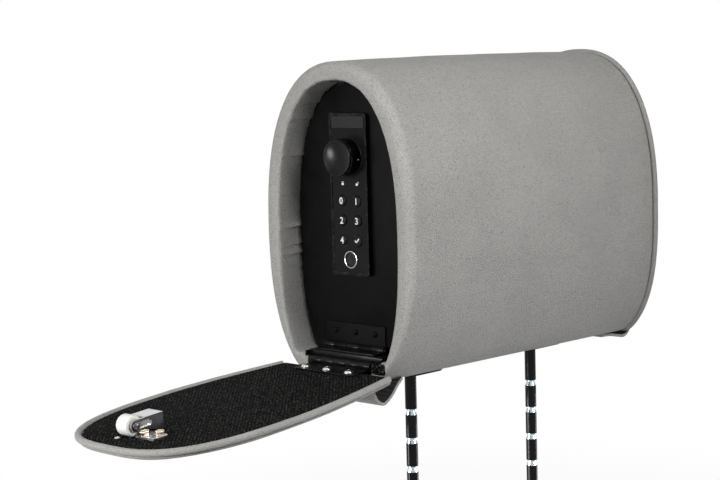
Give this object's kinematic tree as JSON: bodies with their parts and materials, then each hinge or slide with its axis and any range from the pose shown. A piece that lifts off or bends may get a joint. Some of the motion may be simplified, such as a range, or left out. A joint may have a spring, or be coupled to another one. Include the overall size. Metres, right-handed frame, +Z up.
{
  "type": "headrest safe",
  "caption": "Car headrest with a hidden steel safe: leather flap open, keypad door shut, two notched chrome posts.",
  "frame": {"origin": "midway between the two posts, on the flat underside of the padded body", "axes": "+X along the body towards its closed end, +Y across the car's length, away from the pictured side, +Z up"},
  "size_m": [0.5811, 0.1704, 0.4487],
  "materials": {
    "leather": "fine grained, satin",
    "foam": "open cell foam",
    "black_steel": "satin powder coat",
    "satin_black": "satin powder coat",
    "black_plastic": "fine matte",
    "nickel": "nickel plated",
    "chrome": "polished",
    "zinc": "zinc plated",
    "brass_plate": "yellow passivated",
    "carpet": "looped pile",
    "board": "solder mask",
    "cell_wrap": "shrink wrap",
    "nylon": "moulded nylon",
    "rubber": "silicone rubber",
    "ply": "bare board"
  },
  "bodies": {
    "headrest": {"cover_wrap": "leather", "foam_pad": "foam", "far_end_panel": "leather", "end_foam": "foam", "far_piping": "leather", "far_tail": "leather", "near_tail": "leather", "front_frame": "black_steel", "safe_body": "black_steel", "interior_mat": "carpet", "sill_bar": "black_steel", "catch_strike": "zinc", "flap_frame_leaf": "black_steel", "flap_hinge_pin": "black_steel", "door_sill_leaf": "black_steel", "door_hinge_pin": "black_steel", "rail_channel": "black_steel", "near_slot_plate": "black_plastic", "far_slot_plate": "black_plastic"},
    "near_post": {"near_post": "chrome", "near_carriage": "zinc"},
    "far_post": {"far_post": "chrome", "far_carriage": "zinc"},
    "door": {"door_plate": "satin_black", "door_leaf": "black_steel", "lock_panel": "black_plastic", "label_plate": "black_plastic", "knob_base": "black_plastic", "keypad_membrane": "rubber", "sensor_ring": "chrome", "sensor_pad": "black_plastic", "lock_body": "black_plastic", "circuit_board": "board", "battery_pack": "cell_wrap", "solenoid": "zinc"},
    "knob": {"knob": "satin_black", "knob_spindle": "zinc", "lock_cam": "zinc"},
    "bolt": {"lock_bolt": "zinc"},
    "blocker": {"solenoid_pin": "nickel"},
    "key_0": {"key_0": "black_plastic"},
    "key_1": {"key_1": "black_plastic"},
    "key_2": {"key_2": "black_plastic"},
    "key_3": {"key_3": "black_plastic"},
    "key_4": {"key_4": "black_plastic"},
    "key_ok": {"key_ok": "black_plastic"},
    "flap": {"flap_board": "ply", "flap_skin": "leather", "flap_piping": "leather", "flap_lining": "carpet", "flap_leaf": "black_steel", "flap_leaf_screw_1": "nickel", "flap_leaf_screw_2": "nickel", "flap_leaf_screw_3": "nickel", "catch_bracket": "chrome", "catch_axle": "zinc", "catch_nut_1": "brass_plate", "catch_nut_2": "brass_plate", "catch_tip_screw": "nickel"},
    "roller": {"catch_roller": "nylon"}
  },
  "joints": [
    {"name": "flap_hinge", "type": "hinge", "parent": "headrest", "child": "flap", "pos_m": [-0.1625, 0, 0.0135], "axis": [0, 1, 0], "range_deg": [0, 95], "deforming": ["near_tail"]},
    {"name": "door_hinge", "type": "hinge", "parent": "headrest", "child": "door", "pos_m": [-0.1465, 0, 0.024], "axis": [0, 1, 0], "range_deg": [-90, 0]},
    {"name": "knob_turn", "type": "hinge", "parent": "door", "child": "knob", "pos_m": [-0.155, 0, 0.179], "axis": [1, 0, 0], "range_deg": [0, 90]},
    {"name": "bolt_slide", "type": "slide", "parent": "door", "child": "bolt", "axis": [0, 0, 1], "range_m": [0, 0.014]},
    {"name": "blocker_slide", "type": "slide", "parent": "door", "child": "blocker", "axis": [0, -1, 0], "range_m": [0, 0.0032], "stiffness_N_per_m": 20, "springref_m": -0.001},
    {"name": "key_0_press", "type": "slide", "parent": "door", "child": "key_0", "axis": [1, 0, 0], "range_m": [0, 0.0008], "stiffness_N_per_m": 400, "springref_m": -0.0004},
    {"name": "key_1_press", "type": "slide", "parent": "door", "child": "key_1", "axis": [1, 0, 0], "range_m": [0, 0.0008], "stiffness_N_per_m": 400, "springref_m": -0.0004},
    {"name": "key_2_press", "type": "slide", "parent": "door", "child": "key_2", "axis": [1, 0, 0], "range_m": [0, 0.0008], "stiffness_N_per_m": 400, "springref_m": -0.0004},
    {"name": "key_3_press", "type": "slide", "parent": "door", "child": "key_3", "axis": [1, 0, 0], "range_m": [0, 0.0008], "stiffness_N_per_m": 400, "springref_m": -0.0004},
    {"name": "key_4_press", "type": "slide", "parent": "door", "child": "key_4", "axis": [1, 0, 0], "range_m": [0, 0.0008], "stiffness_N_per_m": 400, "springref_m": -0.0004},
    {"name": "key_ok_press", "type": "slide", "parent": "door", "child": "key_ok", "axis": [1, 0, 0], "range_m": [0, 0.0008], "stiffness_N_per_m": 400, "springref_m": -0.0004},
    {"name": "roller_spin", "type": "hinge", "parent": "flap", "child": "roller", "pos_m": [-0.37907, 0.004, -0.00093], "axis": [0, 1, 0], "continuous": true},
    {"name": "near_post_slide", "type": "slide", "parent": "headrest", "child": "near_post", "axis": [1, 0, 0], "range_m": [-0.011, 0.011]},
    {"name": "far_post_slide", "type": "slide", "parent": "headrest", "child": "far_post", "axis": [1, 0, 0], "range_m": [-0.011, 0.011]}
  ],
  "couplings": [
    {"joint": "bolt_slide", "follows": "knob_turn", "m_per_rad": 0.0089127}
  ]
}
